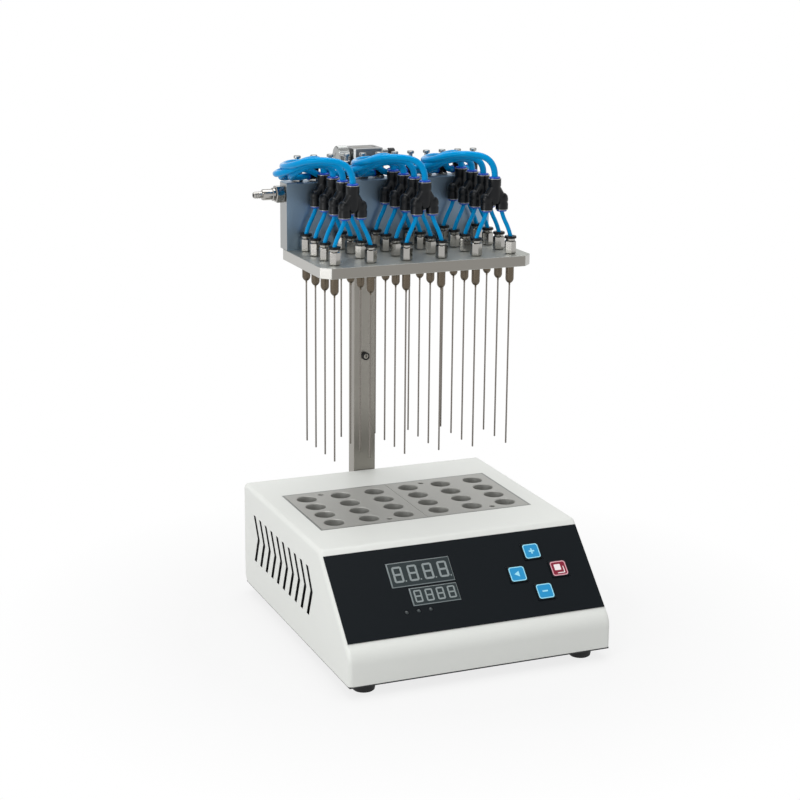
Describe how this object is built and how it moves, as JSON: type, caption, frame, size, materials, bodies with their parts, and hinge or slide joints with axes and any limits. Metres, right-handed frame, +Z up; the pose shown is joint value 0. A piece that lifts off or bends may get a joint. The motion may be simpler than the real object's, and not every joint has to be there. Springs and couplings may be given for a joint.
{
  "type": "nitrogen sample evaporator",
  "caption": "Heated dry block base with sloped control panel; on a rear column slides a gas head of needle valves, looped tubes and needles above sample wells",
  "frame": {"origin": "Middle of the whole machine's width and depth, on the bench under its feet, with the gas head at the top of its travel", "axes": "+X to the operator's right, +Y from the operator toward the column, +Z up"},
  "size_m": [0.265, 0.314, 0.4571],
  "materials": {
    "enamel_white": "satin",
    "rubber_black": "matte",
    "steel_bright": "satin",
    "panel_black": "gloss",
    "display_red": "gloss",
    "display_green": "gloss",
    "led_green": "gloss",
    "board_green": "matte",
    "aluminium_satin": "satin",
    "copper_iron": "matte",
    "plastic_black": "matte",
    "steel_black": "satin",
    "nickel_brass": "polished",
    "ring_blue": "gloss",
    "tube_blue": "gloss",
    "aluminium_block": "satin",
    "key_cyan": "gloss",
    "key_crimson": "gloss"
  },
  "bodies": {
    "base": {"housing_cover": "enamel_white", "bottom_pan": "enamel_white", "rear_panel": "enamel_white", "feet": "rubber_black", "foot_screws": "steel_bright", "panel_overlay": "panel_black", "display_upper": "display_red", "display_lower": "display_green", "indicator_leds": "led_green", "display_board": "board_green", "heater_well": "steel_bright", "heating_plate": "aluminium_satin", "main_board": "board_green", "transformer": "copper_iron", "power_inlet": "plastic_black", "inlet_pins": "steel_bright", "column": "aluminium_satin", "column_bracket": "steel_bright", "column_screws": "steel_bright", "stop_screw": "steel_black"},
    "carriage": {"carriage_block": "aluminium_satin", "head_bracket": "aluminium_satin", "bracket_screws": "steel_bright", "side_pin": "steel_bright", "side_pin_cap": "plastic_black", "gas_tray": "aluminium_satin", "gas_chamber": "aluminium_satin", "gas_inlet": "nickel_brass", "needle_fittings": "plastic_black", "fitting_collars": "plastic_black", "needle_hubs": "nickel_brass", "needles": "steel_bright", "y_splitters": "plastic_black", "release_rings": "ring_blue", "branch_tubes": "tube_blue", "valve_bases": "nickel_brass", "valve_bodies": "plastic_black", "supply_tubes": "tube_blue"},
    "lock_knob": {"height_lock_knob": "aluminium_satin"},
    "rocker": {"power_rocker": "plastic_black"},
    "block_left_group": {"block_left": "aluminium_block"},
    "block_right_group": {"block_right": "aluminium_block"},
    "key_up_group": {"key_up": "key_cyan"},
    "key_left_group": {"key_left": "key_cyan"},
    "key_set_group": {"key_set": "key_crimson"},
    "key_down_group": {"key_down": "key_cyan"},
    "valve_01": {"valve_knob_01": "steel_bright"},
    "valve_02": {"valve_knob_02": "steel_bright"},
    "valve_03": {"valve_knob_03": "steel_bright"},
    "valve_04": {"valve_knob_04": "steel_bright"},
    "valve_05": {"valve_knob_05": "steel_bright"},
    "valve_06": {"valve_knob_06": "steel_bright"},
    "valve_07": {"valve_knob_07": "steel_bright"},
    "valve_08": {"valve_knob_08": "steel_bright"},
    "valve_09": {"valve_knob_09": "steel_bright"},
    "valve_10": {"valve_knob_10": "steel_bright"},
    "valve_11": {"valve_knob_11": "steel_bright"},
    "valve_12": {"valve_knob_12": "steel_bright"}
  },
  "joints": [
    {"name": "carriage_slide", "type": "slide", "parent": "base", "child": "carriage", "axis": [0, 0, 1], "range_m": [-0.085, 0]},
    {"name": "height_lock_turn", "type": "hinge", "parent": "carriage", "child": "lock_knob", "pos_m": [-0.0175, 0.143, 0.437], "axis": [-1, 0, 0], "range_deg": [-180, 180]},
    {"name": "valve_01_turn", "type": "hinge", "parent": "carriage", "child": "valve_01", "pos_m": [-0.08853, 0.0825, 0.445], "axis": [0, 0, 1], "range_deg": [0, 720]},
    {"name": "valve_02_turn", "type": "hinge", "parent": "carriage", "child": "valve_02", "pos_m": [-0.07197, 0.0825, 0.445], "axis": [0, 0, 1], "range_deg": [0, 720]},
    {"name": "valve_03_turn", "type": "hinge", "parent": "carriage", "child": "valve_03", "pos_m": [-0.05543, 0.0825, 0.445], "axis": [0, 0, 1], "range_deg": [0, 720]},
    {"name": "valve_04_turn", "type": "hinge", "parent": "carriage", "child": "valve_04", "pos_m": [-0.03887, 0.0825, 0.445], "axis": [0, 0, 1], "range_deg": [0, 720]},
    {"name": "valve_05_turn", "type": "hinge", "parent": "carriage", "child": "valve_05", "pos_m": [-0.02233, 0.0825, 0.445], "axis": [0, 0, 1], "range_deg": [0, 720]},
    {"name": "valve_06_turn", "type": "hinge", "parent": "carriage", "child": "valve_06", "pos_m": [-0.00577, 0.0825, 0.445], "axis": [0, 0, 1], "range_deg": [0, 720]},
    {"name": "valve_07_turn", "type": "hinge", "parent": "carriage", "child": "valve_07", "pos_m": [0.01077, 0.0825, 0.445], "axis": [0, 0, 1], "range_deg": [0, 720]},
    {"name": "valve_08_turn", "type": "hinge", "parent": "carriage", "child": "valve_08", "pos_m": [0.02732, 0.0825, 0.445], "axis": [0, 0, 1], "range_deg": [0, 720]},
    {"name": "valve_09_turn", "type": "hinge", "parent": "carriage", "child": "valve_09", "pos_m": [0.04387, 0.0825, 0.445], "axis": [0, 0, 1], "range_deg": [0, 720]},
    {"name": "valve_10_turn", "type": "hinge", "parent": "carriage", "child": "valve_10", "pos_m": [0.06042, 0.0825, 0.445], "axis": [0, 0, 1], "range_deg": [0, 720]},
    {"name": "valve_11_turn", "type": "hinge", "parent": "carriage", "child": "valve_11", "pos_m": [0.07698, 0.0825, 0.445], "axis": [0, 0, 1], "range_deg": [0, 720]},
    {"name": "valve_12_turn", "type": "hinge", "parent": "carriage", "child": "valve_12", "pos_m": [0.09352, 0.0825, 0.445], "axis": [0, 0, 1], "range_deg": [0, 720]},
    {"name": "block_left_lift", "type": "slide", "parent": "base", "child": "block_left_group", "axis": [0, 0, 1], "range_m": [0, 0.055]},
    {"name": "block_right_lift", "type": "slide", "parent": "base", "child": "block_right_group", "axis": [0, 0, 1], "range_m": [0, 0.055]},
    {"name": "key_up_press", "type": "slide", "parent": "base", "child": "key_up_group", "axis": [0, 0.6947, -0.7193], "range_m": [0, 0.0006], "stiffness_N_per_m": 800, "springref_m": -0.0004},
    {"name": "key_left_press", "type": "slide", "parent": "base", "child": "key_left_group", "axis": [0, 0.6947, -0.7193], "range_m": [0, 0.0006], "stiffness_N_per_m": 800, "springref_m": -0.0004},
    {"name": "key_set_press", "type": "slide", "parent": "base", "child": "key_set_group", "axis": [0, 0.6947, -0.7193], "range_m": [0, 0.0006], "stiffness_N_per_m": 800, "springref_m": -0.0004},
    {"name": "key_down_press", "type": "slide", "parent": "base", "child": "key_down_group", "axis": [0, 0.6947, -0.7193], "range_m": [0, 0.0006], "stiffness_N_per_m": 800, "springref_m": -0.0004},
    {"name": "power_rock", "type": "hinge", "parent": "base", "child": "rocker", "pos_m": [-0.0755, 0.1328, 0.0735], "axis": [1, 0, 0], "range_deg": [-10, 10]}
  ]
}
